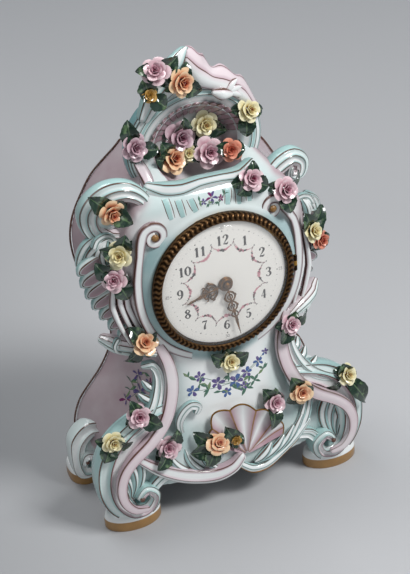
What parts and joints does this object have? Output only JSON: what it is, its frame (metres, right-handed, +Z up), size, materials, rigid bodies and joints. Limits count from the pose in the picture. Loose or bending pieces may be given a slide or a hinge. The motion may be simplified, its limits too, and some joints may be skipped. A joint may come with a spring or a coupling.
{
  "type": "porcelain mantel clock",
  "caption": "Rococo porcelain mantel clock on four scroll feet, with modelled roses, an arched niche, a gilt glazed bezel, a white dial and a spring movement behind a rear door.",
  "frame": {"origin": "on the surface that it stands on, under the middle of the clock's box", "axes": "+Z up, the dial faces -Y, +X to the right as one looks at the dial"},
  "size_m": [0.241, 0.1202, 0.3776],
  "materials": {
    "porcelain": "glossy glaze, white with pale turquoise and mauve bands and gilt line work",
    "flowers": "glossy glazed petals and leaves",
    "gilt": "dark antique gilt",
    "enamel": "glossy white enamel with painted numerals",
    "glass": "clear",
    "brass": "satin",
    "steel": "polished",
    "bronze": "dark patina"
  },
  "bodies": {
    "case": {"porcelain_case": "porcelain", "crest_roses": "flowers", "niche_bouquet": "flowers", "niche_left_rose": "flowers", "niche_right_rose": "flowers", "ledge_rose": "flowers", "left_shoulder_rose": "flowers", "right_shoulder_rose": "flowers", "left_flank_roses": "flowers", "right_flank_roses": "flowers", "left_waist_rose": "flowers", "right_waist_rose": "flowers", "center_rose": "flowers", "left_side_rose": "flowers", "left_foot_rose": "flowers", "base_left_rose": "flowers", "base_center_rose": "flowers", "shell_rose": "flowers", "right_base_rose": "flowers", "right_foot_rose": "flowers", "dial_seat_ring": "brass", "bezel_hinge_pin": "brass", "enamel_dial": "enamel", "front_plate": "brass", "back_plate": "brass", "pillar_top": "brass", "pillar_right": "brass", "pillar_bottom": "brass", "balance_cock": "brass", "hairspring": "steel", "rear_ring": "brass", "door_hinge_pin": "brass", "clamp_screw_top": "steel", "clamp_screw_bottom": "steel"},
    "bezel": {"bezel_ring": "gilt", "bezel_glass": "glass"},
    "rear_door": {"rear_door": "brass", "door_knob": "brass"},
    "hand_setting": {"center_arbor": "steel", "minute_hand": "bronze", "hand_nut": "bronze", "set_knob": "brass"},
    "hour_work": {"hour_wheel": "brass", "hour_hand": "bronze"},
    "minute_work": {"minute_wheel": "brass"},
    "fourth": {"fourth_wheel": "brass"},
    "third": {"third_wheel": "brass"},
    "center": {"center_wheel": "brass"},
    "barrel": {"mainspring_barrel": "brass", "mainspring": "steel", "barrel_cover": "brass"},
    "escape": {"escape_wheel": "brass"},
    "winding": {"winding_arbor": "steel", "ratchet_wheel": "steel", "winding_key": "brass"},
    "click": {"click": "steel"},
    "pallets": {"pallet_lever": "steel"},
    "balance": {"balance_wheel": "brass"},
    "regulator": {"regulator_lever": "steel"}
  },
  "joints": [
    {"name": "bezel_hinge", "type": "hinge", "parent": "case", "child": "bezel", "pos_m": [0.06169, -0.04007, 0.2], "axis": [0, 0, 1], "range_deg": [0, 110]},
    {"name": "rear_door_hinge", "type": "hinge", "parent": "case", "child": "rear_door", "pos_m": [0.04069, 0.04473, 0.2], "axis": [0, 0, -1], "range_deg": [0, 110]},
    {"name": "hand_setting_turn", "type": "hinge", "parent": "case", "child": "hand_setting", "pos_m": [0.00049, -0.01587, 0.2], "axis": [0, 1, 0], "continuous": true},
    {"name": "minute_wheel_turn", "type": "hinge", "parent": "case", "child": "minute_work", "pos_m": [-0.00629, -0.03287, 0.20679], "axis": [0, 1, 0], "continuous": true},
    {"name": "hour_wheel_turn", "type": "hinge", "parent": "case", "child": "hour_work", "pos_m": [0.00049, -0.03587, 0.2], "axis": [0, 1, 0], "continuous": true},
    {"name": "fourth_wheel_turn", "type": "hinge", "parent": "case", "child": "fourth", "pos_m": [0.01947, -0.01537, 0.20747], "axis": [0, 1, 0], "continuous": true},
    {"name": "third_wheel_turn", "type": "hinge", "parent": "case", "child": "third", "pos_m": [0.00792, -0.01137, 0.21286], "axis": [0, 1, 0], "continuous": true},
    {"name": "center_wheel_turn", "type": "hinge", "parent": "case", "child": "center", "pos_m": [0.00049, -0.00387, 0.2], "axis": [0, 1, 0], "continuous": true},
    {"name": "barrel_turn", "type": "hinge", "parent": "case", "child": "barrel", "pos_m": [-0.01529, -0.01587, 0.19425], "axis": [0, 1, 0], "continuous": true},
    {"name": "escape_wheel_turn", "type": "hinge", "parent": "case", "child": "escape", "pos_m": [0.0213, -0.01937, 0.19713], "axis": [0, 1, 0], "continuous": true},
    {"name": "winding_turn", "type": "hinge", "parent": "case", "child": "winding", "pos_m": [-0.01529, 0.00113, 0.19425], "axis": [0, 1, 0], "continuous": true},
    {"name": "click_pivot", "type": "hinge", "parent": "case", "child": "click", "pos_m": [-0.0228, 0.00113, 0.20838], "axis": [0, 1, 0], "range_deg": [0, 12], "stiffness_Nm_per_rad": 0.002},
    {"name": "pallet_pivot", "type": "hinge", "parent": "case", "child": "pallets", "pos_m": [0.01987, -0.01087, 0.18906], "axis": [0, 1, 0], "range_deg": [-4, 4]},
    {"name": "balance_swing", "type": "hinge", "parent": "case", "child": "balance", "pos_m": [0.01443, 0.00613, 0.18127], "axis": [0, 1, 0], "range_deg": [-135, 135], "stiffness_Nm_per_rad": 0.0001},
    {"name": "regulator_turn", "type": "hinge", "parent": "case", "child": "regulator", "pos_m": [0.01443, 0.01513, 0.18127], "axis": [0, 1, 0], "range_deg": [-20, 20]}
  ],
  "couplings": [
    {"joint": "minute_wheel_turn", "follows": "hand_setting_turn", "ratio": -0.33333},
    {"joint": "hour_wheel_turn", "follows": "hand_setting_turn", "ratio": 0.083333},
    {"joint": "third_wheel_turn", "follows": "fourth_wheel_turn", "ratio": -0.13333},
    {"joint": "center_wheel_turn", "follows": "fourth_wheel_turn", "ratio": 0.016667},
    {"joint": "barrel_turn", "follows": "fourth_wheel_turn", "ratio": -0.0027778},
    {"joint": "escape_wheel_turn", "follows": "fourth_wheel_turn", "ratio": -6}
  ]
}
